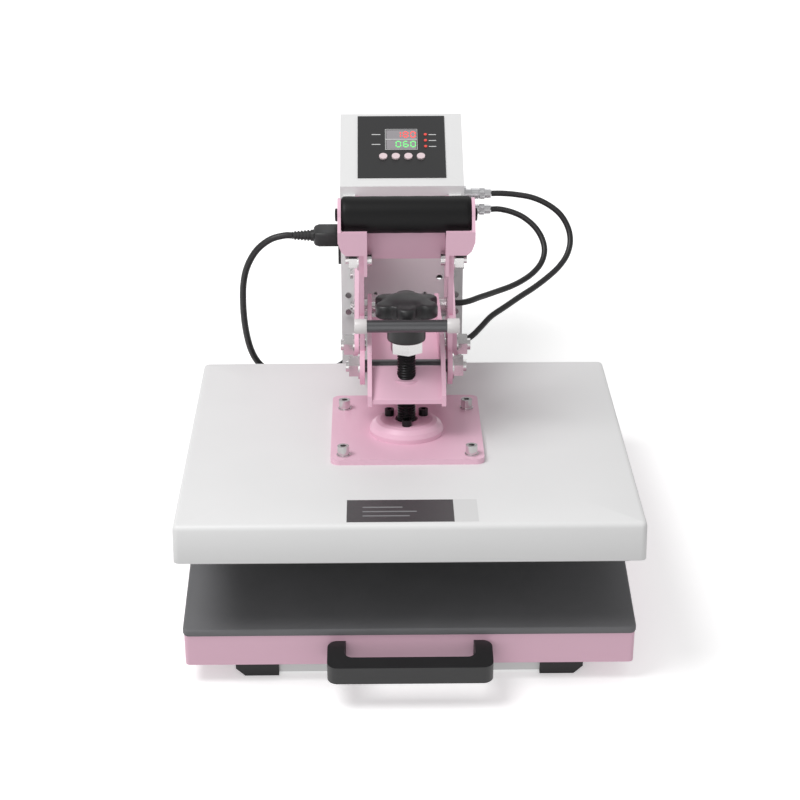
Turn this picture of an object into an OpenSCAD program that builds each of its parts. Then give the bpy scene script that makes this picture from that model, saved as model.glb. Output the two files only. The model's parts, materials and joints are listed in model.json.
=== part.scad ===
// Clamshell heat press with a slide-out lower platen.
// +X is the operator's right, +Y points away from the operator, +Z is up.
// The base stands on z = 0, and the origin is the centre of the footprint.

/* [Lower platen] */
// Side of the square tray and of the pad on it
tray_side = 394; // [388:1:396]
// Height of the folded steel tray
tray_height = 31; // [29:1:32]
// Thickness of the silicone pad
pad_height = 7; // [6:0.5:8]
// Distance that the drawer pulls out
drawer_travel = 180; // [120:10:200]

/* [Heat platen] */
// Side of the square cover
cover_side = 400; // [398:1:404]
// Height of the cover's folded sides
cover_height = 34.5; // [33:0.5:36]
// Side of the cast heater plate
heater_side = 384; // [370:1:388]

/* [Lever] */
// Angle between the open and the closed platen
open_angle = 10; // [9:0.5:10]
// Angle that the lever swings from open to closed
lever_swing = 60; // [56:1:60]
// Radius of the foam grip
grip_radius = 16.5; // [15:0.5:17]
// Length of the foam grip
grip_length = 116; // [110:1:116]

/* [Column] */
// Width of the rear column and control box
column_width = 126; // [124:1:130]
// Depth of the rear column and control box
column_depth = 104; // [100:1:108]

/* [Hidden] */
$fn = 48;

// Sheet and clearance sizes
sheet = 2;
gap = 0.3;
run_fit = 0.05;

// Heights above the table
base_top = 18;
base_low = 2;
tray_low = 20;
tray_top = tray_low + tray_height;
pad_top = tray_top + pad_height;
heater_low = pad_top + gap;
cover_low = heater_low + 4;
cover_top = cover_low + cover_height;
plate_thick = 5;
plate_top = cover_top + plate_thick;

// Distances behind the front of the tray
centre_y = tray_side / 2;
base_front = 14;
column_front = 494;
column_back = column_front + column_depth;
handle_out = 38;
mid_y = (column_back - handle_out) / 2;

// Column
column_x = column_width / 2;
column_low_top = 245;
top_slope = 18;
column_high_top = column_low_top + column_depth * tan(top_slope);
slope_length = column_depth / cos(top_slope);

// Points of the mechanism, as [y, z]
arm_hinge = [416.5, 147.8];
lever_pivot = [260, 194];
cam_throw = 35;
cam_start = -5;
cam_rest = lever_pivot + cam_throw * [-cos(cam_start), sin(cam_start)];
cross_bar_at = [171.2, 262.8];
grip_at = [233, 342];
bracket_bolt_at = [230, 299];
lever_top_at = [231, 306];

// Half widths of the nested plates, from the middle outwards
flange_in = 31.5;
flange_out = 35.5;
lever_in = 38;
lever_out = 42.5;
cheek_in = 43.5;
cheek_out = 47.5;

shaft_r = 6;
hinge_r = 7;
screw_r = 8.5;
cable_r = 3;
mains_r = 3.5;

// Heights on the adjuster screw with the platen closed
screw_low = plate_top + 3.4;
lock_nut_low = cover_top + 83.5;
lock_nut_height = 10.5;
hub_low = lock_nut_low + lock_nut_height;
lobe_low = hub_low + 25;
lobe_height = 13.5;
knob_top = lobe_low + 18;

// Mounting plate and its bolts
plate_half_x = 69;
plate_front = centre_y - 69;
plate_back = centre_y + 92.5;
bolt_pitch = 115;
bolt_head_r = 5.3;

// Control panel, measured along the sloping top from its front edge
panel_half_x = 45;
panel_front = 12;
panel_length = 93;
panel_thick = 1;
button_row = 42.6;
button_pitch = 12.9;
button_r = 4.2;
button_lift = 1.6;
button_rise = 1.1;
button_stem_r = 2;
led_x = 25;

// Side fittings of the column, as [y, z]
inlet_at = [530, 172];
switch_at = [530, 146];
socket_high = [520, 224];
socket_low = [520, 206];
high_grommet = [385, 170];
low_grommet = [368, 135];
plug_length = 26;

// Routes of the flexible leads, as points in the press's own frame
heater_route = [
    [92, 520, 206], [101, 520, 206], [114, 517, 204], [126, 512, 200], [137, 504, 193],
    [144, 495, 184], [146, 485, 175], [142, 474, 167], [133, 462, 162], [122, 450, 160],
    [109, 437, 160], [96, 424, 162], [85, 411, 165], [75, 399, 168], [65.5, 389, 169.7],
    [57, 385, 170], [48.7, 385, 170]
];
sensor_route = [
    [92, 520, 224], [103, 520, 224], [118, 519, 223], [134, 516, 221], [149, 511, 216],
    [162, 504, 208], [170, 495, 197], [172, 485, 186], [168, 474, 176], [159, 463, 168],
    [147, 452, 162], [133, 440, 157], [118, 428, 153], [103, 415, 149], [88, 402, 145],
    [78, 389, 141], [69, 377, 137.8], [60, 369.6, 135.6], [54, 368, 135], [48.7, 368, 135]
];
mains_route = [
    [-114, 530, 172], [-122, 530, 172], [-136, 530, 168], [-149, 530, 158], [-158, 530, 145],
    [-164, 530, 130], [-167, 530, 114], [-168, 531, 97], [-168, 532, 80], [-167, 533, 63],
    [-165, 534, 47], [-162, 535, 33], [-157, 536, 20], [-149, 536, 10], [-137, 536, 5],
    [-122, 536, 3.6], [-106, 536, 3.6], [-90, 538, 3.6], [-76, 543, 3.6], [-65, 552, 3.6],
    [-59, 565, 3.6], [-57, 580, 3.6], [-55, 595, 3.6], [-48, 608, 3.6], [-36, 617, 3.6],
    [-18, 620, 3.6], [0, 620, 3.6]
];
coil_centre = [0, 665];
coil_mid_r = 38;
coil_half_w = 10.5;
coil_height = 14.4;

// ---- helpers -------------------------------------------------------------

// Moves everything from the tray-front frame to the part's own frame.
module placed() { translate([0, -mid_y, 0]) children(); }

// Tilts what is drawn in its closed place back to the open rest place.
module on_arm() {
    translate([0, arm_hinge.x, arm_hinge.y]) rotate([-open_angle, 0, 0])
        translate([0, -arm_hinge.x, -arm_hinge.y]) children();
}

// Draws on the column's sloping top: x across, y up the slope, z out of it.
module on_slope() {
    translate([0, column_front, column_low_top]) rotate([top_slope, 0, 0]) children();
}

module both_sides() {
    children();
    mirror([1, 0, 0]) children();
}

// A flat outline in Y and Z, as thick as x0 to x1.
module slab(x0, x1) { translate([x0, 0, 0]) rotate([90, 0, 90]) linear_extrude(x1 - x0) children(); }

// A round bar along X through the [y, z] point p.
module bar_x(p, x0, x1, r) { translate([x0, p.x, p.y]) rotate([0, 90, 0]) cylinder(r = r, h = x1 - x0); }

// A hexagonal bar along X, measured across its flats.
module hex_x(p, x0, x1, flats) {
    translate([x0, p.x, p.y]) rotate([0, 90, 0]) cylinder(r = flats / 2 / cos(30), h = x1 - x0, $fn = 6);
}

// A straight strip with round ends between two flat points.
module strip(a, b, r) {
    turn_to = atan2(b.y - a.y, b.x - a.x);
    translate(a) circle(r);
    translate(b) circle(r);
    translate(a) rotate(turn_to) translate([0, 0.4 - r]) square([norm(b - a), 2 * r - 0.8]);
}

module rounded(w, d, r) {
    for (x = [-1, 1], y = [-1, 1]) translate([x * (w / 2 - r), y * (d / 2 - r)]) circle(r);
    square([w - 2 * r, d], center = true);
    square([w, d - 2 * r], center = true);
}

module box(x0, x1, y0, y1, z0, z1) { translate([x0, y0, z0]) cube([x1 - x0, y1 - y0, z1 - z0]); }

// A hexagon nut or bolt head with its washer and bolt end, outwards from x0.
module nut_x(p, x0, flats, thick, bolt_r, end) {
    difference() {
        union() {
            bar_x(p, x0, x0 + 1.5, flats * 0.63);
            hex_x(p, x0 + 1.5, x0 + 1.5 + thick, flats);
            if (end > 0) bar_x(p, x0 + 1.5 + thick, x0 + 1.5 + thick + end, bolt_r - 0.6);
        }
        bar_x(p, x0 - 1, x0 + thick, bolt_r);
    }
}

function turn(p, about, angle) =
    about + [
        (p - about).x * cos(angle) - (p - about).y * sin(angle),
        (p - about).x * sin(angle) + (p - about).y * cos(angle)
    ];

// The cam shaft's place in the closed arm's frame, t from 0 open to 1 closed.
function cam_at(t) =
    let (angle = cam_start - t * lever_swing)
    turn(lever_pivot + cam_throw * [-cos(angle), sin(angle)], arm_hinge, open_angle * (1 - t));

function unit(v) = v / norm(v);
function across(v) = unit([-v.y, v.x]);

// A tube swept along points with a ring of flat sides at each one.
function ring_axis(route, i) =
    unit(route[min(i + 1, len(route) - 1)] - route[max(i - 1, 0)]);
function side_axis(axis) = unit(cross(axis, abs(axis.z) > 0.9 ? [0, 1, 0] : [0, 0, 1]));
function ring(route, i, r, sides) =
    let (axis = ring_axis(route, i), u = side_axis(axis), v = cross(axis, u))
    [for (k = [0:sides - 1]) route[i] + r * (u * cos(360 * k / sides) + v * sin(360 * k / sides))];

module tube(route, r, sides = 8) {
    rings = len(route);
    points = [for (i = [0:rings - 1]) each ring(route, i, r, sides)];
    walls = [
        for (i = [0:rings - 2], k = [0:sides - 1])
            [i * sides + k, i * sides + (k + 1) % sides, (i + 1) * sides + (k + 1) % sides, (i + 1) * sides + k]
    ];
    first = [for (k = [sides - 1:-1:0]) k];
    last = [for (k = [0:sides - 1]) (rings - 1) * sides + k];
    polyhedron(points, concat(walls, [first, last]));
}

// ---- base and column -----------------------------------------------------

base_half_x = 115;
tail_half_x = 50;
base_back = column_front + 30;
tail_back = column_back - 4;

module base_frame() color("whitesmoke") difference() {
    union() {
        box(-base_half_x, base_half_x, base_front, base_back, base_low, base_top);
        box(-tail_half_x, tail_half_x, base_back - 10, tail_back, base_low, base_top);
    }
    box(-base_half_x + sheet, base_half_x - sheet, base_front + sheet, base_back - sheet,
        base_low - 1, base_top - sheet);
    box(-tail_half_x + sheet, tail_half_x - sheet, base_back - 10, tail_back - sheet,
        base_low - 1, base_top - sheet);
}

foot_width = 38;
foot_length = 42;

module base_feet() color("black")
    for (y = [base_front - 3, base_back - foot_length - 2]) both_sides()
        translate([0, y + foot_length, 0]) rotate([90, 0, 0]) linear_extrude(foot_length)
            polygon([
                [base_half_x, 0], [base_half_x + foot_width - 8, 0], [base_half_x + foot_width, 8],
                [base_half_x + foot_width, base_top], [base_half_x, base_top]
            ]);

rail_in = 88;
rail_out = 108;

module slide_outer_rails() color("silver") both_sides() difference() {
    box(rail_in, rail_out, base_front + 8, tray_side - 14, base_top, base_top + 16);
    box(rail_in + 5, rail_out - 5, base_front, tray_side, base_top + 5, base_top + 17);
}

module slide_inner_rails() color("silver") both_sides()
    box(rail_in + 5.5, rail_out - 5.5, 16, tray_side - 20, base_top + 5.5, tray_top - sheet);

module column_outline(inset) polygon([
    [column_front + inset, base_top + inset], [column_back, base_top + inset],
    [column_back, column_high_top - inset / cos(top_slope)],
    [column_front + inset, column_low_top - inset / cos(top_slope) + inset * tan(top_slope)]
]);

vent_hole_r = 1.8;

module column_housing() color("whitesmoke") difference() {
    slab(-column_x, column_x) column_outline(0);
    slab(-column_x + sheet, column_x - sheet) column_outline(sheet);
    on_slope() {
        translate([-16, 54, -5]) cube([32, 30, 10]);
        for (i = [0:3]) translate([(i - 1.5) * button_pitch + 0.6, button_row, -5])
            cylinder(r = button_stem_r + 0.35, h = 10);
    }
    bar_x(inlet_at, -column_x - 5, -column_x + 5, 9);
    for (p = [socket_high, socket_low]) bar_x(p, column_x - 5, column_x + 5, 5);
    translate([column_x - 5, switch_at.x - 10, switch_at.y - 6]) cube([10, 20, 12]);
    for (hole = [[38.8, 140.6, 3.2], [-27.5, 122, vent_hole_r], [23.8, 122, vent_hole_r]])
        translate([hole[0], column_front - 2, hole[1]]) rotate([-90, 0, 0]) cylinder(r = hole[2], h = 6);
}

louvre_count = 9;

module column_back_panel() color("whitesmoke") difference() {
    box(-column_x + sheet, column_x - sheet, column_back - sheet, column_back,
        base_top + sheet, column_high_top - 4);
    for (x = [-44, 6], i = [0:louvre_count - 1])
        box(x, x + 38, column_back - 5, column_back + 5, 70 + i * 12, 74 + i * 12);
}

// Side cheeks that carry the arm's hinge and the lever's pivot
cheek_nose_r = 16;

module cheek_outline() {
    translate(lever_pivot) circle(cheek_nose_r);
    polygon([
        lever_pivot + [-2, cheek_nose_r - 0.2], [column_front - 3, 236], [column_front - 3, 104],
        [arm_hinge.x - 8, 122], [350, 121], [lever_pivot.x + 8, lever_pivot.y - cheek_nose_r + 2]
    ]);
}

module cheek(with_grommets) color("pink") difference() {
    slab(cheek_in, cheek_out) cheek_outline();
    bar_x(lever_pivot, cheek_in - 1, cheek_out + 1, shaft_r);
    bar_x(arm_hinge, cheek_in - 1, cheek_out + 1, hinge_r);
    if (with_grommets) for (p = [high_grommet, low_grommet]) bar_x(p, cheek_in - 1, cheek_out + 1, 6);
    for (z = bracket_screw_z) bar_x([column_front - 9, z], cheek_in - 1, cheek_out + 1, 3);
}

module cheek_left() mirror([1, 0, 0]) cheek(false);
module cheek_right() cheek(true);

bracket_screw_z = [112, 150, 215];
face_screw_z = [122.6, 103];

// Angle brackets that fix the cheeks to the column's front
module cheek_brackets() color("whitesmoke") both_sides() difference() {
    union() {
        box(cheek_out, cheek_out + 12.5, column_front - 3, column_front, 96, 236);
        box(cheek_out, cheek_out + 3, column_front - 16, column_front, 96, 236);
    }
    for (z = bracket_screw_z) bar_x([column_front - 9, z], cheek_out - 1, cheek_out + 4, 3);
}

module cheek_bolts() color("silver") both_sides() for (z = bracket_screw_z) {
    bar_x([column_front - 9, z], cheek_in, cheek_out + 3, 3);
    bar_x([column_front - 9, z], cheek_out + 3, cheek_out + 6, 5);
}

module housing_screws() color("silver") both_sides() for (z = face_screw_z)
    translate([cheek_out + 8.2, column_front - 3, z]) rotate([90, 0, 0]) cylinder(r = 3.2, h = 2);

module hinge_shaft() color("silver") bar_x(arm_hinge, -cheek_out - 3, cheek_out + 3, hinge_r);

module hinge_bushes() color("silver") both_sides() difference() {
    bar_x(arm_hinge, flange_out + gap, cheek_in, 10);
    bar_x(arm_hinge, flange_out, cheek_in + 1, hinge_r);
}

module hinge_clips() color("silver") both_sides() difference() {
    bar_x(arm_hinge, cheek_out, cheek_out + 1.6, 10);
    bar_x(arm_hinge, cheek_out - 1, cheek_out + 3, hinge_r);
}

module lever_pivot_bolts() color("silver") both_sides() {
    bar_x(lever_pivot, flange_out + 1.2, cheek_out, shaft_r);
    bar_x(lever_pivot, cheek_out, cheek_out + 1.5, 12);
    hex_x(lever_pivot, cheek_out + 1.5, cheek_out + 10, 19);
    bar_x(lever_pivot, cheek_out + 10, cheek_out + 13, shaft_r - 0.6);
}

// ---- controls ------------------------------------------------------------

module control_panel() color("dimgray") on_slope() difference() {
    translate([-panel_half_x, panel_front, 0]) cube([2 * panel_half_x, panel_length, panel_thick]);
    translate([-16, 54, -1]) cube([32, 30, 4]);
    for (i = [0:3]) translate([(i - 1.5) * button_pitch + 0.6, button_row, -1]) cylinder(r = button_r + gap, h = 4);
}

module display_window() color("gray") on_slope() translate([-15.8, 54.2, -14.4]) cube([31.6, 29.6, 15.2]);

module status_leds() color("red") on_slope()
    for (y = [58, 67, 76]) translate([led_x, y, panel_thick]) cylinder(r = 1.6, h = 0.8);

module button(i) color("mistyrose") on_slope()
    translate([(i - 1.5) * button_pitch + 0.6, button_row, -4]) {
        cylinder(r = button_stem_r, h = 4 + button_rise);
        translate([0, 0, 4 + button_rise]) cylinder(r = button_r, h = button_lift);
    }

module button_set() button(0);
module button_down() button(1);
module button_up() button(2);
module button_timer() button(3);

module circuit_board() color("darkgreen") on_slope() {
    translate([-46, 16, -16]) cube([92, 78, 1.6]);
    for (x = [-40, 40], y = [22, 86]) translate([x, y, -14.4]) cylinder(r = 3, h = 14.4 - sheet);
}

module solid_state_relay() color("ivory") box(-28, 28, column_back - 34, column_back - sheet, 96, 140);

module terminal_block() color("ivory") box(-24, 24, column_front + sheet, column_front + 20, 60, 80);

module power_inlet() color("black") difference() {
    union() {
        box(-column_x - 3, -column_x, inlet_at.x - 15, inlet_at.x + 15, inlet_at.y - 26, inlet_at.y + 15);
        bar_x(inlet_at, -column_x, -column_x + 22, 8.6);
    }
    box(-column_x - 4, -column_x + 14, inlet_at.x - 6.5, inlet_at.x + 6.5, inlet_at.y - 4, inlet_at.y + 4);
}

rocker_pin_r = 1.5;

module switch_bezel() color("black") difference() {
    union() {
        box(column_x, column_x + 2, switch_at.x - 12, switch_at.x + 12, switch_at.y - 8, switch_at.y + 8);
        box(column_x - 14, column_x, switch_at.x - 9.7, switch_at.x + 9.7, switch_at.y - 5.7, switch_at.y + 5.7);
    }
    box(column_x - 8, column_x + 5, switch_at.x - 8, switch_at.x + 8, switch_at.y - 4.2, switch_at.y + 4.2);
    translate([column_x - 3, switch_at.x, switch_at.y - 5.3]) cylinder(r = rocker_pin_r + run_fit, h = 10.6);
}

module power_rocker() color("firebrick")
    translate([column_x - 4, switch_at.x, switch_at.y]) {
        translate([0, 0, -3.9]) linear_extrude(7.8)
            polygon([[-1, -2.5], [-1, 2.5], [4.5, 6], [7.5, 6], [5.5, 0], [4.5, -6], [2.5, -6]]);
        translate([1, 0, -5]) cylinder(r = rocker_pin_r, h = 10);
    }

module connector_sockets() color("silver") for (p = [socket_high, socket_low]) difference() {
    union() {
        bar_x(p, column_x, column_x + 3, 8);
        bar_x(p, column_x - 10, column_x, 4.8);
        bar_x(p, column_x + 3, column_x + 8, 5);
    }
    bar_x(p, column_x - 11, column_x + 9, 3.2);
}

module connector_plugs() color("gainsboro") for (p = [socket_high, socket_low]) difference() {
    union() {
        bar_x(p, column_x + 8, column_x + 22, 5.6);
        bar_x(p, column_x + 22, column_x + 29, 4.8);
    }
    bar_x(p, column_x + 7, column_x + 18, 3.1);
}

module cable_grommets() color("black") for (p = [high_grommet, low_grommet]) {
    bar_x(p, cheek_in - 1, cheek_out, 5.95);
    bar_x(p, cheek_out, cheek_out + 1.2, 8);
}

// ---- leads ---------------------------------------------------------------

module heater_cable() color("black") tube(heater_route, cable_r);
module sensor_cable() color("black") tube(sensor_route, cable_r);
module mains_cord() color("black") tube(mains_route, mains_r);

module mains_connector() color("black") {
    box(-column_x - 28, -column_x - 3, inlet_at.x - 12, inlet_at.x + 12, inlet_at.y - 8, inlet_at.y + 8);
    bar_x(inlet_at, -column_x - 40, -column_x - 28, 6);
    bar_x(inlet_at, -column_x - 51, -column_x - 40, 4.6);
}

module mains_coil() color("black") translate([coil_centre.x, coil_centre.y, 0])
    rotate_extrude($fn = 64) translate([coil_mid_r - coil_half_w, 0]) square([2 * coil_half_w, coil_height]);

plug_x = 4;

module mains_plug() color("black") translate([plug_x, coil_centre.y, coil_height]) {
    translate([-18, -13, 0]) cube([34, 26, 18]);
    translate([16, 0, 9]) rotate([0, 90, 0]) cylinder(r = 5, h = 14);
    for (y = [-6, 6]) translate([-36, y - 3, 8]) cube([18, 6, 1.6]);
}

// ---- drawer --------------------------------------------------------------

handle_half = 71.5;
handle_screw_r = 2.4;

module drawer_tray() color("pink") difference() {
    translate([0, centre_y, tray_low]) linear_extrude(tray_height) rounded(tray_side - 2, tray_side - 2, 4);
    translate([0, centre_y, tray_low - 1]) linear_extrude(tray_height - sheet + 1)
        rounded(tray_side - 2 - 2 * sheet, tray_side - 2 - 2 * sheet, 3);
    box(-rail_out - 8, rail_out + 8, tray_side - 20, tray_side + 5, tray_low - 1, base_top + 20);
    for (x = [-1, 1]) translate([x * (handle_half - 7.5), -2, tray_low + 16.5]) rotate([-90, 0, 0])
        cylinder(r = handle_screw_r, h = 8);
}

module silicone_pad() color("dimgray")
    translate([0, centre_y, tray_top]) linear_extrude(pad_height) rounded(tray_side, tray_side, 6);

handle_bar = 15;

module drawer_handle() color("black") difference() {
    union() {
        translate([0, (1 - handle_out) / 2, tray_low + 8]) linear_extrude(17) difference() {
            rounded(2 * handle_half, handle_out + 1, 9);
            translate([0, handle_bar / 2 + 2]) rounded(2 * (handle_half - 15), handle_out - handle_bar + 4, 7);
        }
    }
    box(-100, 100, 1, 30, tray_low, tray_top + 5);
    for (x = [-1, 1]) translate([x * (handle_half - 7.5), -14, tray_low + 16.5]) rotate([-90, 0, 0])
        cylinder(r = 2.6, h = 40);
}

module handle_screws() color("silver")
    for (x = [-1, 1]) translate([x * (handle_half - 7.5), -12, tray_low + 16.5]) rotate([-90, 0, 0]) {
        cylinder(r = handle_screw_r, h = 16);
        translate([0, 0, 15]) cylinder(r = 4.2, h = 3);
    }

// ---- arm and heat platen -------------------------------------------------

web_slope = 30;
web_thick = 4;
web_at_screw = cover_top + 62;
web_front_y = centre_y - 27.6;
web_crest_y = centre_y + 6;
web_floor = 144;
web_rear_y = arm_hinge.x - 18;
cam_slot_r = shaft_r + 0.6;
cam_steps = 12;

function web_z(y) = web_at_screw + (y - centre_y) * tan(web_slope);

module arm_flange_outline() difference() {
    union() {
        translate(arm_hinge) circle(14);
        polygon([
            [web_front_y - 1, web_z(web_front_y) - 6], [web_front_y - 1, web_z(web_front_y) + 4],
            [centre_y + 6, web_z(centre_y) + 17], [centre_y + 33, 182],
            arm_hinge + [4, 13.4], arm_hinge + [0, -14], [centre_y + 34, web_floor - web_thick - 8],
            [centre_y + 4, web_floor - web_thick - 8]
        ]);
    }
    cam_slot();
    translate(arm_hinge) circle(hinge_r + run_fit);
}

// The curved slot that the cam shaft follows, worked out from the swing
module cam_slot() {
    for (t = [0, 1]) translate(cam_at(t)) circle(cam_slot_r);
    path = [for (i = [0:cam_steps]) cam_at(i / cam_steps)];
    sides = [
        for (i = [0:cam_steps])
            across(path[min(i + 1, cam_steps)] - path[max(i - 1, 0)]) * cam_slot_r
    ];
    polygon(concat(
        [for (i = [0:cam_steps]) path[i] + sides[i]],
        [for (i = [cam_steps:-1:0]) path[i] - sides[i]]
    ));
}

module arm_web_outline() polygon([
    [web_front_y, web_z(web_front_y)], [web_crest_y, web_z(web_crest_y)],
    [web_crest_y + web_thick, web_z(web_crest_y)], [web_crest_y + web_thick, web_floor],
    [web_rear_y, web_floor], [web_rear_y, web_floor - web_thick],
    [web_crest_y, web_floor - web_thick], [web_crest_y, web_z(web_crest_y) - web_thick],
    [web_front_y, web_z(web_front_y) - web_thick]
]);

module arm_channel() color("pink") on_arm() difference() {
    union() {
        both_sides() slab(flange_in, flange_out) arm_flange_outline();
        slab(-flange_in, flange_in) arm_web_outline();
        translate([0, centre_y, web_at_screw - 22]) cylinder(r = 13, h = 18);
    }
    translate([0, centre_y, screw_low]) cylinder(r = screw_r + run_fit, h = 100);
}

module platen_cover() color("white") on_arm() difference() {
    translate([0, centre_y, cover_low]) linear_extrude(cover_height) rounded(cover_side, cover_side, 4);
    translate([0, centre_y, cover_low - 1]) linear_extrude(cover_height - sheet + 1)
        rounded(cover_side - 2 * sheet, cover_side - 2 * sheet, 3);
    bolt_places() translate([0, 0, cover_low]) cylinder(r = 3.2, h = 50);
}

module bolt_places()
    for (x = [-1, 1], y = [-1, 1]) translate([x * bolt_pitch / 2, centre_y + y * bolt_pitch / 2, 0]) children();

heater_thick = 12;

module heater_plate() color("silver") on_arm() difference() {
    translate([0, centre_y, heater_low]) linear_extrude(heater_thick) rounded(heater_side, heater_side, 8);
    bolt_places() translate([0, 0, heater_low + 3]) cylinder(r = 3, h = 50);
}

module insulation_board() color("beige") on_arm() difference() {
    translate([0, centre_y, heater_low + heater_thick]) linear_extrude(cover_top - sheet - heater_low - heater_thick)
        rounded(heater_side - 10, heater_side - 10, 8);
    bolt_places() translate([0, 0, heater_low]) cylinder(r = 3.2, h = 60);
}

module mounting_plate() color("pink") on_arm() difference() {
    translate([0, (plate_front + plate_back) / 2, cover_top]) linear_extrude(plate_thick)
        rounded(2 * plate_half_x, plate_back - plate_front, 8);
    bolt_places() translate([0, 0, cover_top - 1]) cylinder(r = 3.2, h = 20);
}

module plate_bolts() color("silver") on_arm() bolt_places() {
    translate([0, 0, heater_low + 3]) cylinder(r = 3, h = plate_top - heater_low - 3);
    translate([0, 0, plate_top]) cylinder(r = 6.2, h = 1.2);
    difference() {
        translate([0, 0, plate_top + 1.2]) cylinder(r = bolt_head_r, h = 8);
        translate([0, 0, plate_top + 5]) cylinder(r = 2.9, h = 6, $fn = 6);
    }
}

boss_r = 34;
boss_height = 12.5;

module ball_joint_housing() color("pink") on_arm() translate([0, centre_y, plate_top])
    rotate_extrude() polygon([
        [0, 0], [boss_r, 0], [boss_r, 4], [boss_r - 2, 8], [boss_r - 6, 11.3], [boss_r - 10, boss_height],
        [screw_r + 2, boss_height], [screw_r + 2, 3], [0, 3]
    ]);

module ball_joint_screws() color("black") on_arm()
    for (angle = [30, 150, 270]) translate([0, centre_y, plate_top + boss_height]) rotate(angle)
        translate([18, 0, 0]) difference() {
            cylinder(r = 4.4, h = 6);
            translate([0, 0, 3]) cylinder(r = 2.3, h = 4, $fn = 6);
        }

// ---- pressure adjuster ---------------------------------------------------

module adjuster_screw() color("black") on_arm() translate([0, centre_y, screw_low + 0.2])
    cylinder(r = screw_r, h = hub_low - screw_low + 20);

module lock_nut() color("silver") on_arm() translate([0, centre_y, lock_nut_low]) difference() {
    rotate(-24) cylinder(r = 13.5 / cos(30), h = lock_nut_height, $fn = 6);
    translate([0, 0, -1]) cylinder(r = screw_r, h = 30);
}

lobes = 6;
lobe_r = 8.5;

module star_knob() color("black") on_arm() translate([0, centre_y, hub_low]) difference() {
    union() {
        cylinder(r = 17.5, h = lobe_low - hub_low + 1);
        translate([0, 0, lobe_low - hub_low]) linear_extrude(lobe_height) {
            circle(24.6);
            for (i = [0:lobes - 1]) rotate(30 + i * 360 / lobes) translate([31 - lobe_r, 0]) circle(lobe_r);
        }
        translate([0, 0, lobe_low - hub_low + lobe_height - 1])
            cylinder(r1 = 20.7, r2 = 12, h = knob_top - lobe_low - lobe_height + 1);
    }
    translate([0, 0, -1]) cylinder(r = screw_r, h = 21.2);
}

// ---- lever ---------------------------------------------------------------

lever_r = 17;

module lever_outline() difference() {
    union() {
        strip(cam_rest, lever_pivot, lever_r);
        strip((cam_rest + lever_pivot) / 2, lever_top_at, lever_r);
        strip([226, 238], cross_bar_at, 6);
    }
    translate(lever_pivot) circle(shaft_r + run_fit);
    translate(cam_rest) circle(shaft_r);
    translate(cross_bar_at) circle(3.5);
    translate(bracket_bolt_at) circle(4);
}

module lever_plate() color("pink") slab(lever_in, lever_out) lever_outline();
module lever_left() mirror([1, 0, 0]) lever_plate();
module lever_right() lever_plate();

module cam_shaft() color("gray") bar_x(cam_rest, -lever_out, lever_out, shaft_r);

module cam_shaft_nuts() color("silver") both_sides() {
    bar_x(cam_rest, lever_out, lever_out + 1.5, 12);
    hex_x(cam_rest, lever_out + 1.5, lever_out + 10, 19);
    bar_x(cam_rest, lever_out + 10, lever_out + 13, shaft_r - 0.8);
}

// Folded bracket between the lever plates, with wings out to the grip's ends
bracket_front = 209;
bracket_back = 240;
bracket_low = 296;
wing_low = 313;
wing_top = 336;
end_plate_in = grip_length / 2;
end_plate_out = end_plate_in + 3;

module grip_bracket() color("pink") {
    difference() {
        union() {
            both_sides() {
                box(lever_in - 3, lever_in, bracket_front, bracket_back, bracket_low - 4, 324);
                translate([0, bracket_front + 3, 0]) rotate([90, 0, 0]) linear_extrude(3)
                    polygon([
                        [lever_in - 3, wing_low], [end_plate_out - 7, wing_low], [end_plate_out - 3, wing_low + 4],
                        [end_plate_out, wing_low + 13], [end_plate_out, wing_top], [lever_in - 3, wing_top]
                    ]);
                slab(end_plate_in, end_plate_out) difference() {
                    union() {
                        translate(grip_at) circle(grip_radius - 1.5);
                        polygon([
                            [bracket_front, wing_low + 12], [bracket_front, wing_top], grip_at + [-13, 6],
                            grip_at + [13, -5], [bracket_front + 13, wing_low + 12]
                        ]);
                    }
                    translate(grip_at) circle(4);
                }
            }
            box(-lever_in, lever_in, bracket_back - 3, bracket_back, bracket_low, 322);
        }
        bar_x(bracket_bolt_at, -lever_in - 1, lever_in + 1, 4);
    }
}

module bracket_bolts() color("silver") both_sides() {
    bar_x(bracket_bolt_at, lever_in - 3, lever_out, 4);
    bar_x(bracket_bolt_at, lever_in - 7, lever_in - 3, 6);
    bar_x(bracket_bolt_at, lever_out, lever_out + 1.5, 10);
    hex_x(bracket_bolt_at, lever_out + 1.5, lever_out + 9, 16);
    bar_x(bracket_bolt_at, lever_out + 9, lever_out + 12, 4);
}

cross_bar_r = 5.6;

module cross_bar() color("gray") {
    bar_x(cross_bar_at, -lever_in, lever_in, cross_bar_r);
    both_sides() {
        bar_x(cross_bar_at, lever_in, lever_out, 3.5);
        bar_x(cross_bar_at, lever_out, lever_out + 3, 6.2);
    }
}

module foam_grip() color("black") {
    bar_x(grip_at, -end_plate_in, end_plate_in, grip_radius);
    both_sides() {
        bar_x(grip_at, end_plate_in, end_plate_out, 4);
        bar_x(grip_at, end_plate_out, end_plate_out + 2.5, 6);
    }
}

// ---- every node ----------------------------------------------------------

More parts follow.
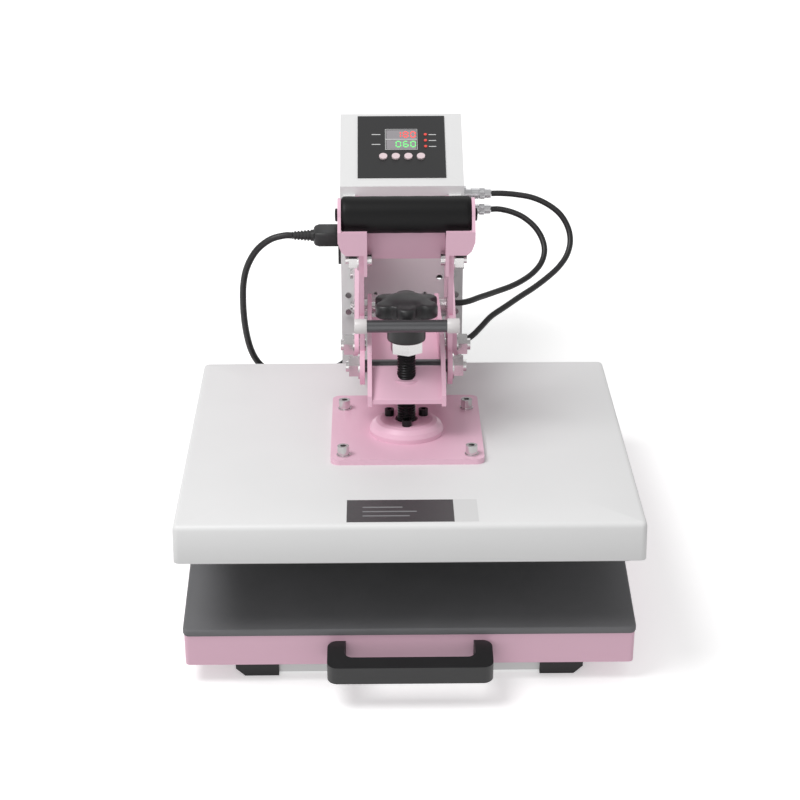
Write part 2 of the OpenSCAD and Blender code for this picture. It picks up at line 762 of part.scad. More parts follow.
placed() base_frame();
placed() base_feet();
placed() slide_outer_rails();
placed() column_housing();
placed() column_back_panel();
placed() cheek_left();
placed() cheek_right();
placed() cheek_brackets();
placed() cheek_bolts();
placed() housing_screws();
placed() hinge_shaft();
placed() hinge_bushes();
placed() hinge_clips();
placed() lever_pivot_bolts();
placed() control_panel();
placed() display_window();
placed() status_leds();
placed() circuit_board();
placed() solid_state_relay();
placed() terminal_block();
placed() power_inlet();
placed() switch_bezel();
placed() connector_sockets();
placed() connector_plugs();
placed() cable_grommets();
placed() heater_cable();
placed() sensor_cable();
placed() mains_connector();
placed() mains_cord();
placed() mains_coil();
placed() mains_plug();
placed() power_rocker();
placed() button_set();
placed() button_down();
placed() button_up();
placed() button_timer();
placed() drawer_tray();
placed() silicone_pad();
placed() slide_inner_rails();
placed() drawer_handle();
placed() handle_screws();
placed() arm_channel();
placed() platen_cover();
placed() insulation_board();
placed() heater_plate();
placed() mounting_plate();
placed() plate_bolts();
placed() ball_joint_housing();
placed() ball_joint_screws();
placed() adjuster_screw();
placed() lock_nut();
placed() star_knob();
placed() lever_left();
placed() lever_right();
placed() cam_shaft();
placed() cam_shaft_nuts();
placed() grip_bracket();
placed() bracket_bolts();
placed() cross_bar();
placed() foam_grip();
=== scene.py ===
"""Looks for the heat press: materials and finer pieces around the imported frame.

Sizes below are millimetres with y measured from the front of the tray, as in the CAD,
and mm() turns them into metres in the row frame.
"""

import json
import math

import bmesh
import bpy
from mathutils import Matrix, Vector


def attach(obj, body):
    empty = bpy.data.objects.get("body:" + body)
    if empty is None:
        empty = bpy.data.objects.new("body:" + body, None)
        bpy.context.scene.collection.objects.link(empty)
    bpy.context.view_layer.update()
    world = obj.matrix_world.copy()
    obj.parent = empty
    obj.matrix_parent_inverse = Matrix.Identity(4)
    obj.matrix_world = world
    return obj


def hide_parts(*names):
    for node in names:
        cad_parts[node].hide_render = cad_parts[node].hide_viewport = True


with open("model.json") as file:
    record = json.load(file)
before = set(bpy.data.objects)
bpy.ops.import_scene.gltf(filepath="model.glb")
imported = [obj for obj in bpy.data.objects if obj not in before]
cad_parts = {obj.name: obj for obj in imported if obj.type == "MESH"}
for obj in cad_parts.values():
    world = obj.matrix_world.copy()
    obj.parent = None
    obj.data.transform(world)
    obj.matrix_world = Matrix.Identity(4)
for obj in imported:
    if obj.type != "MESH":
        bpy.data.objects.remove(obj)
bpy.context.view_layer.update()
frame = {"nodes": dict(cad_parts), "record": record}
nodes = frame["nodes"]
scene = bpy.context.scene
scene.view_settings.view_transform = "Standard"

MM = 0.001
MID_Y = 280.0
HINGE = (416.5, 147.8)
OPEN_ANGLE = 10.0
CENTRE_Y = 197.0
COVER_LOW = 62.3
COVER_TOP = 96.8
PLATE_TOP = 101.8
TAU = 2 * math.pi


def mm(x, y, z):
    """A point in millimetres, y from the tray's front, as metres in the row frame."""
    return Vector((x * MM, (y - MID_Y) * MM, z * MM))


def arm_matrix():
    """Turns closed places on the arm to the open rest pose."""
    pivot = mm(0, HINGE[0], HINGE[1])
    turn = Matrix.Rotation(math.radians(-OPEN_ANGLE), 4, "X")
    return Matrix.Translation(pivot) @ turn @ Matrix.Translation(-pivot)


ARM = arm_matrix()

# ---- camera --------------------------------------------------------------

CAMERA_AT = (-28.6, -1557.3, 1225.3)
CAMERA_TILT = 59.0
CAMERA_TURN = -0.74
CAMERA_LENS = 100.6

camera_data = bpy.data.cameras.new("camera")
camera = bpy.data.objects.new("camera", camera_data)
scene.collection.objects.link(camera)
camera.location = mm(*CAMERA_AT)
camera.rotation_euler = (math.radians(CAMERA_TILT), 0, math.radians(CAMERA_TURN))
camera_data.lens = CAMERA_LENS
camera_data.sensor_width = 36
camera_data.clip_end = 50
scene.camera = camera

# ---- materials -----------------------------------------------------------

COAT_ROUGH = 0.2
ROUGH_VARY = 0.12


def linear(level):
    """A 0 to 255 display level as linear light."""
    level = level / 255
    return level / 12.92 if level <= 0.04045 else ((level + 0.055) / 1.055) ** 2.4


def shade(colour, factor=1.0):
    """A display colour as linear RGBA, lightened or darkened by a factor."""
    return tuple(min(1.0, linear(c) * factor) for c in colour) + (1.0,)


def finish(name, colour, rough=0.45, metal=0.0, vary=0.06, grain=900.0, bump=0.08,
           bump_mm=0.05, stretch=(1, 1, 1), patch=14.0, coat=0.0, specular=0.5, glow=0.0):
    """A surface with slow colour and roughness variation and a fine grain in its relief."""
    material = bpy.data.materials.new(name)
    material.use_nodes = True
    tree = material.node_tree
    shader = tree.nodes["Principled BSDF"]
    shader.inputs["Metallic"].default_value = metal
    shader.inputs["Coat Weight"].default_value = coat
    shader.inputs["Coat Roughness"].default_value = COAT_ROUGH
    shader.inputs["Specular IOR Level"].default_value = specular
    place = tree.nodes.new("ShaderNodeTexCoord")
    scale = tree.nodes.new("ShaderNodeMapping")
    scale.inputs["Scale"].default_value = stretch
    tree.links.new(place.outputs["Object"], scale.inputs["Vector"])
    slow = tree.nodes.new("ShaderNodeTexNoise")
    slow.inputs["Scale"].default_value = patch
    slow.inputs["Detail"].default_value = 5
    tree.links.new(scale.outputs["Vector"], slow.inputs["Vector"])
    mix = tree.nodes.new("ShaderNodeMix")
    mix.data_type = "RGBA"
    mix.inputs[6].default_value = shade(colour, 1 - vary)
    mix.inputs[7].default_value = shade(colour, 1 + vary)
    tree.links.new(slow.outputs["Fac"], mix.inputs["Factor"])
    tree.links.new(mix.outputs[2], shader.inputs["Base Color"])
    fine = tree.nodes.new("ShaderNodeTexNoise")
    fine.inputs["Scale"].default_value = grain
    fine.inputs["Detail"].default_value = 3
    tree.links.new(scale.outputs["Vector"], fine.inputs["Vector"])
    spread = tree.nodes.new("ShaderNodeMapRange")
    spread.inputs["To Min"].default_value = max(0.02, rough - ROUGH_VARY / 2)
    spread.inputs["To Max"].default_value = min(1.0, rough + ROUGH_VARY / 2)
    tree.links.new(slow.outputs["Fac"], spread.inputs["Value"])
    tree.links.new(spread.outputs["Result"], shader.inputs["Roughness"])
    relief = tree.nodes.new("ShaderNodeBump")
    relief.inputs["Strength"].default_value = bump
    relief.inputs["Distance"].default_value = bump_mm * MM
    tree.links.new(fine.outputs["Fac"], relief.inputs["Height"])
    tree.links.new(relief.outputs["Normal"], shader.inputs["Normal"])
    if glow:
        shader.inputs["Emission Color"].default_value = shade(colour)
        shader.inputs["Emission Strength"].default_value = glow
    return material


PINK = (229, 186, 205)
WHITE = (226, 226, 226)
M = {
    "white_paint": finish("white_paint", WHITE, 0.42, bump=0.25, grain=1400, vary=0.02),
    "pink_paint": finish("pink_paint", PINK, 0.38, bump=0.25, grain=1400, vary=0.03, coat=0.1),
    "foot_rubber": finish("foot_rubber", (26, 26, 27), 0.6, grain=700, bump=0.3),
    "zinc_rail": finish("zinc_rail", (172, 174, 178), 0.32, 1.0, stretch=(1, 0.05, 1), bump=0.2),
    "bright_steel": finish("bright_steel", (214, 212, 212), 0.22, 1.0, vary=0.08, grain=600,
                           bump=0.12),
    "black_steel": finish("black_steel", (30, 30, 31), 0.34, 0.6, vary=0.15, grain=700, bump=0.15),
    "grey_steel": finish("grey_steel", (96, 96, 98), 0.38, 0.9, stretch=(0.1, 1, 1), bump=0.25),
    "panel_film": finish("panel_film", (36, 36, 37), 0.55, grain=1800, bump=0.15, vary=0.05),
    "display_glass": finish("display_glass", (20, 16, 17), 0.12, bump=0.0, coat=0.6, vary=0.05),
    "led_plastic": finish("led_plastic", (206, 70, 62), 0.3, bump=0.0, glow=0.4),
    "button_plastic": finish("button_plastic", (226, 206, 210), 0.35, grain=800, bump=0.05),
    "board_green": finish("board_green", (22, 84, 44), 0.4, grain=300, bump=0.2),
    "relay_plastic": finish("relay_plastic", (206, 200, 180), 0.5, bump=0.1),
    "black_plastic": finish("black_plastic", (38, 38, 39), 0.42, grain=1500, bump=0.3, vary=0.08),
    "rocker_plastic": finish("rocker_plastic", (150, 24, 20), 0.3, bump=0.03),
    "connector_metal": finish("connector_metal", (214, 214, 216), 0.28, 0.95,
                              stretch=(1, 1, 0.2), bump=0.15),
    "cable_rubber": finish("cable_rubber", (30, 30, 31), 0.45, grain=900, bump=0.2, vary=0.1),
    "silicone": finish("silicone", (108, 108, 110), 0.72, grain=1100, bump=0.5, bump_mm=0.12,
                       vary=0.12, patch=22),
    "insulation": finish("insulation", (220, 212, 180), 0.95, grain=500, bump=0.8, bump_mm=0.3),
    "heater_cast": finish("heater_cast", (128, 128, 128), 0.5, 0.8, grain=600, bump=0.2),
    "foam": finish("foam", (8, 8, 9), 0.5, grain=1600, bump=0.5, bump_mm=0.12, vary=0.12,
                   specular=0.25),
    "red_digit": finish("red_digit", (236, 60, 52), 0.4, bump=0.0, glow=1.2),
    "green_digit": finish("green_digit", (96, 220, 110), 0.4, bump=0.0, glow=1.0),
    "pane_grey": finish("pane_grey", (150, 146, 150), 0.3, bump=0.0, vary=0.06, coat=0.3),
    "print_white": finish("print_white", (214, 214, 214), 0.5, bump=0.0, vary=0.02),
    "print_grey": finish("print_grey", (128, 128, 130), 0.5, bump=0.0, vary=0.03),
    "sticker_dark": finish("sticker_dark", (62, 60, 62), 0.38, grain=1200, bump=0.1, vary=0.05),
    "cap_white": finish("cap_white", (214, 210, 210), 0.35, grain=900, bump=0.05, vary=0.03),
    "brass_pin": finish("brass_pin", (206, 170, 96), 0.3, 1.0, vary=0.1, bump=0.08),
}

EDGE_MM = {"drawer_tray": 1.2, "base_frame": 0.8, "column_housing": 1.6, "base_feet": 1.4,
           "drawer_handle": 3.0, "mounting_plate": 0.9, "lock_nut": 0.8, "control_panel": 0.3,
           "display_window": 0.4, "button_set": 0.6, "button_down": 0.6, "button_up": 0.6,
           "button_timer": 0.6, "ball_joint_housing": 0.8, "power_rocker": 0.5}
PLAIN_EDGE = 0.45
SHARP = math.radians(32)

for entry in frame["record"]["subparts"]:
    part = nodes[entry["node"]]
    part.data.materials.clear()
    part.data.materials.append(M[entry["material_slot"]])
    for face in part.data.polygons:
        face.use_smooth = True
    bevel = part.modifiers.new("edge", "BEVEL")
    bevel.width = EDGE_MM.get(entry["node"], PLAIN_EDGE) * MM
    bevel.segments = 3 if entry["node"] == "drawer_handle" else 2
    bevel.limit_method = "ANGLE"
    bevel.angle_limit = SHARP
    bevel.use_clamp_overlap = True
    bevel.harden_normals = True

# ---- building helpers ----------------------------------------------------


def piece(name, verts, faces, slot, body, matrix=None, material=None, smooth_angle=35):
    """A mesh piece in the row frame that rides on a body. verts are already in metres."""
    mesh = bpy.data.meshes.new(name)
    mesh.from_pydata([tuple(v) for v in verts], [], faces)
    mesh.materials.append(M[material or slot])
    work = bmesh.new()
    work.from_mesh(mesh)
    bmesh.ops.recalc_face_normals(work, faces=work.faces)
    work.to_mesh(mesh)
    work.free()
    mesh.set_sharp_from_angle(angle=math.radians(smooth_angle))
    for face in mesh.polygons:
        face.use_smooth = True
    thing = bpy.data.objects.new(name, mesh)
    scene.collection.objects.link(thing)
    if matrix is not None:
        mesh.transform(matrix)
    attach(thing, body)
    return thing


def skin(rings):
    """Vertices and faces of a solid through closed rings of equal length, capped at both ends."""
    count = len(rings[0])
    verts = [point for ring in rings for point in ring]
    faces = []
    last = len(rings) - 1
    for i in range(last):
        for k in range(count):
            n = (k + 1) % count
            faces.append((i * count + k, i * count + n, (i + 1) * count + n, (i + 1) * count + k))
    faces.append(tuple(reversed(range(count))))
    faces.append(tuple(last * count + k for k in range(count)))
    return verts, faces


def join(*parts):
    """One vertex and face list out of several."""
    verts, faces = [], []
    for more_verts, more_faces in parts:
        start = len(verts)
        verts += list(more_verts)
        faces += [tuple(start + i for i in face) for face in more_faces]
    return verts, faces


CORNERS = ((1, 1, 0), (-1, 1, 90), (-1, -1, 180), (1, -1, 270))
LEAST_CORNER = 0.6


def outline(half_u, half_v, corner, steps):
    """The points of a rounded rectangle about the origin, anticlockwise."""
    points = []
    for su, sv, start in CORNERS:
        for i in range(steps):
            a = math.radians(start + 90 * i / (steps - 1))
            points.append((su * (half_u - corner) + corner * math.cos(a),
                           sv * (half_v - corner) + corner * math.sin(a)))
    return points


def slab(half_x, half_y, corner, profile, mid_y):
    """A solid with a rounded outline whose edge follows (inset, height) pairs."""
    rings = []
    for inset, z in profile:
        sides = (half_x - inset, half_y - inset, max(LEAST_CORNER, corner - inset))
        rings.append([mm(x, mid_y + y, z) for x, y in outline(*sides, 7)])
    return skin(rings)


def lathe_x(profile, y, z, sides, knurl=0.0, knurled=()):
    """A turned solid along X from (x, radius) pairs, with a knurl on the rings in knurled."""
    rings = []
    for index, (x, r) in enumerate(profile):
        depth = knurl if index in knurled else 0
        ring = []
        for k in range(sides):
            a = TAU * k / sides
            radius = r - depth * (k % 2)
            ring.append(mm(x, y + radius * math.cos(a), z + radius * math.sin(a)))
        rings.append(ring)
    return skin(rings)


def lathe_z(profile, sides, reach):
    """A solid about the adjuster's axis from (radius, height) pairs.

    reach(radius, angle, z) gives each point's distance from the axis.
    """
    rings = []
    for r, z in profile:
        ring = []
        for k in range(sides):
            a = TAU * k / sides
            radius = reach(r, a, z)
            ring.append(mm(radius * math.cos(a), CENTRE_Y + radius * math.sin(a), z))
        rings.append(ring)
    return skin(rings)


def block(x0, x1, y0, y1, z0, z1):
    """A box between two places on each axis."""
    corners = [mm(x, y, z) for z in (z0, z1)
               for x, y in ((x0, y0), (x1, y0), (x1, y1), (x0, y1))]
    faces = [(3, 2, 1, 0), (4, 5, 6, 7), (0, 1, 5, 4), (1, 2, 6, 5), (2, 3, 7, 6), (3, 0, 4, 7)]
    return corners, faces


def smooth_route(points, steps):
    """A dense Catmull-Rom line through the points."""
    points = [Vector(p) for p in points]
    line = []
    for i in range(len(points) - 1):
        a = points[max(i - 1, 0)]
        b, c = points[i], points[i + 1]
        d = points[min(i + 2, len(points) - 1)]
        for k in range(steps):
            t = k / steps
            line.append(0.5 * (2 * b + (c - a) * t + (2 * a - 5 * b + 4 * c - d) * t ** 2
                               + (3 * b - a - 3 * c + d) * t ** 3))
    return line + [points[-1]]


def cable(name, line, radius):
    """A round cable on the frame along a dense line, as a curve of one open spline."""
    data = bpy.data.curves.new(name, "CURVE")
    data.dimensions = "3D"
    spline = data.splines.new("POLY")
    spline.points.add(len(line) - 1)
    for point, at in zip(spline.points, line):
        point.co = (*at, 1)
    data.bevel_depth = radius * MM
    data.bevel_resolution = 5
    data.use_fill_caps = True
    data.materials.append(M["cable_rubber"])
    thing = bpy.data.objects.new(name, data)
    scene.collection.objects.link(thing)
    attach(thing, "frame")
    return thing


# ---- cords ---------------------------------------------------------------

CABLE_R = 3.0
MAINS_R = 3.5
HEATER_ROUTE = [
    (92, 520, 206), (101, 520, 206), (114, 517, 204), (126, 512, 200), (137, 504, 193),
    (144, 495, 184), (146, 485, 175), (142, 474, 167), (133, 462, 162), (122, 450, 160),
    (109, 437, 160), (96, 424, 162), (85, 411, 165), (75, 399, 168), (65.5, 389, 169.7),
    (57, 385, 170), (48.7, 385, 170)]
SENSOR_ROUTE = [
    (92, 520, 224), (103, 520, 224), (118, 519, 223), (134, 516, 221), (149, 511, 216),
    (162, 504, 208), (170, 495, 197), (172, 485, 186), (168, 474, 176), (159, 463, 168),
    (147, 452, 162), (133, 440, 157), (118, 428, 153), (103, 415, 149), (88, 402, 145),
    (78, 389, 141), (69, 377, 137.8), (60, 369.6, 135.6), (54, 368, 135), (48.7, 368, 135)]
MAINS_ROUTE = [
    (-114, 530, 172), (-122, 530, 172), (-136, 530, 168), (-149, 530, 158), (-158, 530, 145),
    (-164, 530, 130), (-167, 530, 114), (-168, 531, 97), (-168, 532, 80), (-167, 533, 63),
    (-165, 534, 47), (-162, 535, 33), (-157, 536, 20), (-149, 536, 10), (-137, 536, 5),
    (-122, 536, 3.6), (-106, 536, 3.6), (-90, 538, 3.6), (-76, 543, 3.6), (-65, 552, 3.6),
    (-59, 565, 3.6), (-57, 580, 3.6), (-55, 595, 3.6), (-48, 608, 3.6), (-36, 617, 3.6),
    (-18, 620, 3.6)]
COIL_AT = (0, 665)
COIL_OUTER = 45.0
COIL_STEP = 7.1
COIL_LOW = 3.6
COIL_LIFT = 7.2
COIL_TURN_POINTS = 20


def coil_points():
    """Two turns inwards on the table, one that climbs, and two outwards on top of them."""
    points = []
    for i in range(5 * COIL_TURN_POINTS + 1):
        turns = i / COIL_TURN_POINTS
        if turns <= 2:
            radius, z = COIL_OUTER - COIL_STEP * turns, COIL_LOW
        elif turns <= 3:
            t = (turns - 2) * math.pi / 2
            radius = COIL_OUTER - COIL_STEP * (turns - 1) - COIL_STEP * math.cos(t)
            z = COIL_LOW + COIL_LIFT * math.sin(t)
        else:
            radius = COIL_OUTER - 2 * COIL_STEP + COIL_STEP * (turns - 3)
            z = COIL_LOW + COIL_LIFT
        angle = -math.pi / 2 + TAU * turns
        points.append((COIL_AT[0] + radius * math.cos(angle),
                       COIL_AT[1] + radius * math.sin(angle), z))
    return points


def make_cords():
    """Each cord as (piece, line, radius), made in a fixed order."""
    found = []
    for name, route, radius, steps in (
            ("heater_lead", HEATER_ROUTE, CABLE_R, 6),
            ("sensor_lead", SENSOR_ROUTE, CABLE_R, 6),
            ("mains_lead", MAINS_ROUTE + coil_points(), MAINS_R, 4)):
        line = smooth_route([mm(*p) for p in route], steps)
        found.append((cable(name, line, radius), line, radius))
    return found


cords = make_cords()

# ---- lower platen --------------------------------------------------------

PAD_PROFILE = [(1.4, 51.0), (0.4, 51.5), (0.0, 52.6), (0.0, 55.8), (0.35, 57.0), (1.2, 57.8),
               (2.6, 58.0), (40.0, 58.0)]
pad = piece("silicone_mat", *slab(197, 197, 6, PAD_PROFILE, CENTRE_Y), "silicone", "drawer")
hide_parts("silicone_pad")

# ---- heat platen ---------------------------------------------------------

SHELL = [(8, COVER_TOP - 2), (3.2, COVER_TOP - 3.4), (2, COVER_TOP - 7), (2, COVER_LOW),
         (0.2, COVER_LOW), (0, COVER_LOW + 0.4), (0, COVER_TOP - 4.5), (0.35, COVER_TOP - 2.7),
         (1.3, COVER_TOP - 1.2), (2.8, COVER_TOP - 0.3), (4.6, COVER_TOP), (60, COVER_TOP)]
cover = piece("cover_shell", *slab(200, 200, 5.5, SHELL, CENTRE_Y), "white_paint", "arm", ARM)
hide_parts("platen_cover")

STICKER_X = (-53.5, 37.6, 58.0)
STICKER_BOX = (3.5, 50.0, COVER_TOP - 0.02, COVER_TOP + 0.12)
DASH_LEFT = -40.0
DASH_TALL = 2.4
piece("blank_sticker", *block(*STICKER_X[:2], *STICKER_BOX), "panel_film", "arm", ARM,
      "sticker_dark")
piece("blank_patch", *block(*STICKER_X[1:], *STICKER_BOX), "white_paint", "arm", ARM,
      "print_white")
dashes = join(*[block(DASH_LEFT, DASH_LEFT + length, y, y + DASH_TALL, COVER_TOP + 0.1,
                      COVER_TOP + 0.16)
                for length, y in ((34, 33), (46, 24), (40, 15))])
piece("sticker_dashes", *dashes, "white_paint", "arm", ARM, "print_grey")

# ---- pressure adjuster ---------------------------------------------------

THREAD_PITCH = 2.5
THREAD_R = 8.5
THREAD_DEPTH = 1.2
ROD_LOW = PLATE_TOP + 3.6
HUB_LOW = COVER_TOP + 94.0
ROD_HIGH = HUB_LOW + 12.0
RINGS_PER_TURN = 8


def helix(radius, angle, z):
    """A crest that climbs one pitch a turn."""
    phase = (z / THREAD_PITCH - angle / TAU) % 1.0
    return radius - THREAD_DEPTH * abs(2 * phase - 1)


def thread(low, high):
    """A rod with a real helical thread."""
    count = int((high - low) / THREAD_PITCH * RINGS_PER_TURN)
    profile = [(THREAD_R, low + (high - low) * i / count) for i in range(count + 1)]
    return lathe_z(profile, 28, helix)


rod = piece("threaded_rod", *thread(ROD_LOW, ROD_HIGH), "black_steel", "adjuster", ARM,
            smooth_angle=50)
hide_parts("adjuster_screw")

LOBE_AT = 22.5
LOBE_R = 8.5
VALLEY_R = 23.0
LOBES_FROM = 18.0
LOBES = 6
LOBE_BLEND = 14


def star(radius, angle, _z):
    """Six round lobes that fade out towards the middle."""
    share = max(0.0, min(1.0, (radius - LOBES_FROM) / (VALLEY_R - LOBES_FROM)))
    off = (angle - math.pi / LOBES) % (TAU / LOBES)
    off = min(off, TAU / LOBES - off)
    reach = LOBE_R ** 2 - (LOBE_AT * math.sin(off)) ** 2
    lobe = LOBE_AT * math.cos(off) + math.sqrt(reach) if reach > 0 else 0.0
    outer = (lobe ** LOBE_BLEND + VALLEY_R ** LOBE_BLEND) ** (1 / LOBE_BLEND)
    return radius + share * (outer - VALLEY_R)


KNOB = [(8.6, 0), (15.8, 0), (17.1, 0.9), (17.5, 2.4), (17.2, 16), (17.4, 22), (18.0, 24.2),
        (21.0, 25.0), (22.2, 25.5), (22.9, 26.8), (23.0, 29.0), (23.0, 35.4), (22.8, 36.9),
        (22.2, 37.9), (21.0, 38.5), (19.6, 38.9), (18.4, 39.4), (16.0, 40.6), (12.0, 41.8),
        (7.0, 42.6), (2.4, 42.9)]
knob = piece("star_handle", *lathe_z([(r, HUB_LOW + z) for r, z in KNOB], 96, star),
             "black_plastic", "adjuster", ARM, smooth_angle=60)
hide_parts("star_knob")

# ---- lever ---------------------------------------------------------------

GRIP = (233.0, 342.0)
GRIP_R = 16.5
GRIP_HALF = 58.0
GRIP_DENT = 0.12


def grip_profile():
    """The foam sleeve, with soft ends."""
    ends = [(0.0, 9.0), (0.1, 13.5), (0.9, 15.4), (2.4, 16.3), (4.5, GRIP_R)]
    left = [(-GRIP_HALF + x, r) for x, r in ends]
    right = [(GRIP_HALF - x, r) for x, r in reversed(ends)]
    inner = [(-GRIP_HALF + 9 + i * 10, GRIP_R - GRIP_DENT * (i % 2)) for i in range(11)]
    return left + inner + right


grip = piece("foam_sleeve", *lathe_x(grip_profile(), *GRIP, 56), "foam", "lever", smooth_angle=60)
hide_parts("foam_grip")

SIDES = ((-1, "left"), (1, "right"))
GRIP_CAP = [(57.9, 3.9), (61.0, 3.95), (61.1, 5.6), (62.6, 6.0), (63.3, 5.2), (63.5, 3.0)]
for side, word in SIDES:
    piece(f"grip_cap_{word}", *lathe_x([(side * x, r) for x, r in GRIP_CAP], *GRIP, 32),
          "black_steel", "lever")

BAR = (171.2, 262.8)
CAP_IN = 35.5
CAP_OUT = 46.6
BAR_CAP = [(CAP_IN, 5.7), (CAP_IN + 0.2, 6.4), (CAP_IN + 0.8, 6.7), (CAP_OUT - 0.9, 6.7),
           (CAP_OUT - 0.2, 6.3), (CAP_OUT, 5.4)]
for side, word in SIDES:
    piece(f"bar_cap_{word}", *lathe_x([(side * x, r) for x, r in BAR_CAP], *BAR, 32),
          "bright_steel", "lever", material="cap_white")

# ---- column fittings -----------------------------------------------------

SOCKETS = ((520, 224), (520, 206))
PLUG = [(71.0, 5.2), (71.4, 5.6), (78.6, 5.6), (79.0, 5.1), (79.8, 5.1), (80.2, 5.6),
        (84.8, 5.6), (85.2, 4.9), (91.2, 4.7), (92.0, 3.6)]
plugs = join(*[lathe_x(PLUG, y, z, 48, knurl=0.45, knurled=(5, 6)) for y, z in SOCKETS])
plug_shells = piece("plug_shells", *plugs, "connector_metal", "frame")
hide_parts("connector_plugs")

INLET = (530, 172)


def connector():
    """The moulded cord connector with its ribbed strain relief."""
    body = []
    for x, half_y, half_z in ((-66, 11.6, 7.6), (-66.8, 12, 8), (-86, 12, 8), (-90, 10.4, 7.2),
                              (-91.5, 7.4, 6.2)):
        body.append([mm(x, INLET[0] + y, INLET[1] + z)
                     for y, z in outline(half_y, half_z, 2.5, 5)])
    relief = [(-91.0, 6.2)]
    for i in range(6):
        x = -93.0 - i * 3.4
        r = 6.0 - i * 0.28
        relief += [(x, r), (x - 1.7, r), (x - 1.9, r - 1.1), (x - 3.2, r - 1.1)]
    relief += [(-113.6, 4.4), (-114, 3.8)]
    return join(skin(body), lathe_x(relief, *INLET, 28))


inlet_plug = piece("inlet_plug", *connector(), "black_plastic", "frame")
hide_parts("mains_connector")

PLUG_LOW = 14.4


def wall_plug():
    """A flat moulded plug that lies on the coil."""
    body = []
    for z, inset in ((0, 1.2), (0.8, 0.2), (2, 0), (15, 0), (17, 0.8), (18, 2.6)):
        body.append([mm(3 + x, COIL_AT[1] + y, PLUG_LOW + z)
                     for x, y in outline(17 - inset, 13 - inset, 5, 6)])
    neck = [(19.4, 5), (20, 5), (33, 4.2), (34, 3.4)]
    return join(skin(body), lathe_x(neck, COIL_AT[1], PLUG_LOW + 9, 24))


lead_plug = piece("wall_plug", *wall_plug(), "black_plastic", "frame")
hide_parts("mains_plug")
pins = join(*[block(-32, -13, mid - 3, mid + 3, PLUG_LOW + 8, PLUG_LOW + 9.6)
              for mid in (COIL_AT[1] - 6, COIL_AT[1] + 6)])
wall_pins = piece("wall_plug_pins", *pins, "connector_metal", "frame", material="brass_pin")

for (cord_piece, line, radius), (end, nodes_for, extras) in zip(cords, (
        ("object", ["heater_cable"], [plug_shells]),
        ("object", ["sensor_cable"], []),
        ("plug", ["mains_cord", "mains_coil"], [inlet_plug, lead_plug, wall_pins]))):
    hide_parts(*nodes_for)

# ---- control panel -------------------------------------------------------

COLUMN_FRONT = 494.0
COLUMN_TOP = 245.0
SLOPE = math.radians(18)
SEGMENTS = {"0": "abcdef", "1": "bc", "6": "acdefg", "8": "abcdefg"}
STROKES = {"a": (0, 1, 1), "d": (0, -1, 1), "g": (0, 0, 1), "b": (1, 0.5, 0), "c": (1, -0.5, 0),
           "e": (-1, -0.5, 0), "f": (-1, 0.5, 0)}
DIGIT_HALF = (2.3, 4.2)
DIGIT_STEP = 7.6
DIGIT_LEFT = -3.0
STROKE = 1.1
GLASS_TOP = 0.84
LINE = 0.5
LINE_LOW = 1.0
LINE_HIGH = 1.1


def slope_matrix():
    """Puts x across, y up the slope and z out of the column's sloping top."""
    return Matrix.Translation(mm(0, COLUMN_FRONT, COLUMN_TOP)) @ Matrix.Rotation(SLOPE, 4, "X")


def on_slope(x0, x1, y0, y1, z0, z1):
    """A block on the sloping top, with y measured from its front edge."""
    return block(x0, x1, y0 + MID_Y, y1 + MID_Y, z0, z1)


def digit(text, x, y):
    """The lit strokes of a seven-segment digit about (x, y)."""
    half_w, half_h = DIGIT_HALF
    parts = []
    for name in SEGMENTS[text]:
        sx, sy, flat = STROKES[name]
        cx, cy = x + sx * half_w, y + sy * half_h
        w = half_w - STROKE * 0.7 if flat else STROKE / 2
        h = STROKE / 2 if flat else half_h / 2 - STROKE * 0.7
        parts.append(on_slope(cx - w, cx + w, cy - h, cy + h, GLASS_TOP, GLASS_TOP + 0.12))
    return parts


def frame_line(x0, x1, y0, y1):
    """A thin printed rectangle."""
    high = (LINE_LOW, LINE_HIGH)
    return join(on_slope(x0, x1, y0, y0 + LINE, *high), on_slope(x0, x1, y1 - LINE, y1, *high),
                on_slope(x0, x0 + LINE, y0 + LINE, y1 - LINE, *high),
                on_slope(x1 - LINE, x1, y0 + LINE, y1 - LINE, *high))


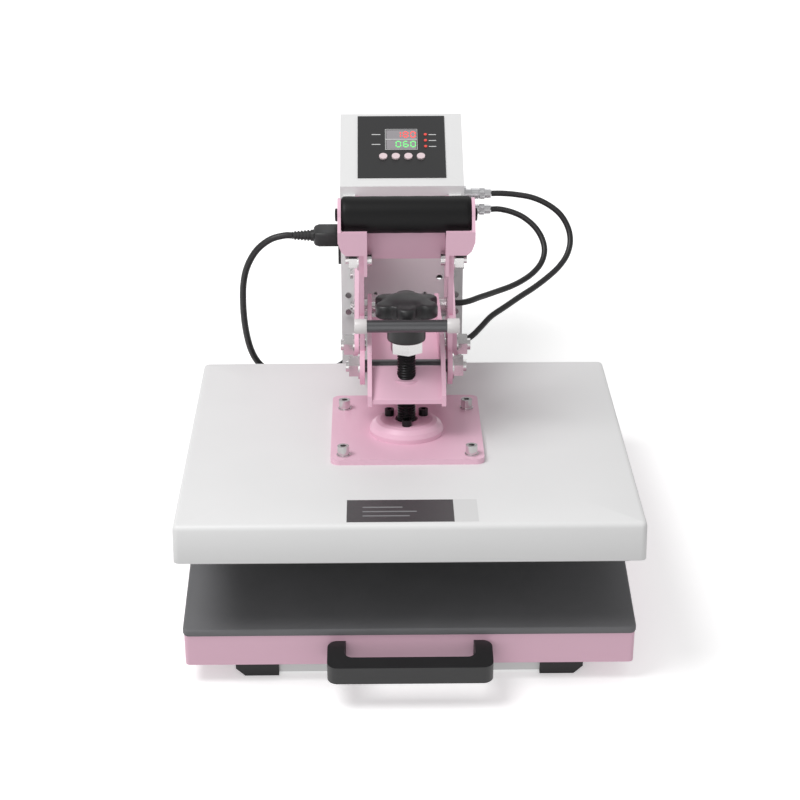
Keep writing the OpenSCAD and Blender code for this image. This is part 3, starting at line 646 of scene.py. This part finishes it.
TOP = slope_matrix()
ROWS = (("red_digits", "180", 76.5, "red_digit"), ("green_digits", "060", 62.0, "green_digit"))
for name, text, y, material in ROWS:
    parts = []
    for i, letter in enumerate(text):
        parts += digit(letter, DIGIT_LEFT + DIGIT_STEP * i, y)
    piece(name, *join(*parts), "led_plastic", "frame", TOP, material)
panes = [on_slope(-15.4, 15.4, low, low + 13.8, 0.8, GLASS_TOP) for low in (54.6, 69.6)]
piece("display_panes", *join(*panes), "display_glass", "frame", TOP, "pane_grey")
lines = [frame_line(-16.6, 16.6, low, low + 15.5) for low in (53.4, 69.1)]
for x0, x1, y in ((28.4, 36.0, 58), (28.4, 36.0, 67), (28.4, 36.0, 76),
                  (-30.5, -21.5, 61.5), (-30.5, -21.5, 76.5)):
    lines.append(on_slope(x0, x1, y - LINE, y + LINE, LINE_LOW, LINE_HIGH))
piece("panel_lines", *join(*lines), "panel_film", "frame", TOP, "print_white")

# ---- floor and light -----------------------------------------------------

FLOOR_HALF = 12
FLOOR_DROP = 0.0004
WORLD_LIGHT = 0.5

floor_mesh = bpy.data.meshes.new("floor")
floor_mesh.from_pydata([(x * FLOOR_HALF, y * FLOOR_HALF, 0)
                        for x, y in ((-1, -1), (1, -1), (1, 1), (-1, 1))], [], [(0, 1, 2, 3)])
floor_mesh.materials.append(finish("floor", (246, 246, 246), 0.9, bump=0.0, vary=0.005,
                                   glow=0.42))
floor = bpy.data.objects.new("floor", floor_mesh)
floor.location.z = -FLOOR_DROP
scene.collection.objects.link(floor)
floor.visible_diffuse = False


def area_light(name, at, target, size, watts):
    """A round soft light in metres, turned towards a target."""
    data = bpy.data.lights.new(name, "AREA")
    data.shape = "DISK"
    data.size = size
    data.energy = watts
    lamp = bpy.data.objects.new(name, data)
    scene.collection.objects.link(lamp)
    lamp.location = at
    lamp.rotation_euler = (Vector(target) - Vector(at)).to_track_quat("-Z", "Y").to_euler()


area_light("key_light", (-1.1, -0.5, 2.3), (0, -0.05, 0.1), 1.3, 36)
area_light("fill_light", (-0.7, -2.6, 0.9), (0, 0, 0.15), 1.8, 11)
area_light("rim_light", (0.4, 2.2, 1.9), (0, 0.1, 0.2), 1.5, 6)

world = bpy.data.worlds.new("world")
world.use_nodes = True
sky = world.node_tree.nodes["Background"]
sky.inputs["Color"].default_value = (1, 1, 1, 1)
sky.inputs["Strength"].default_value = WORLD_LIGHT
scene.world = world
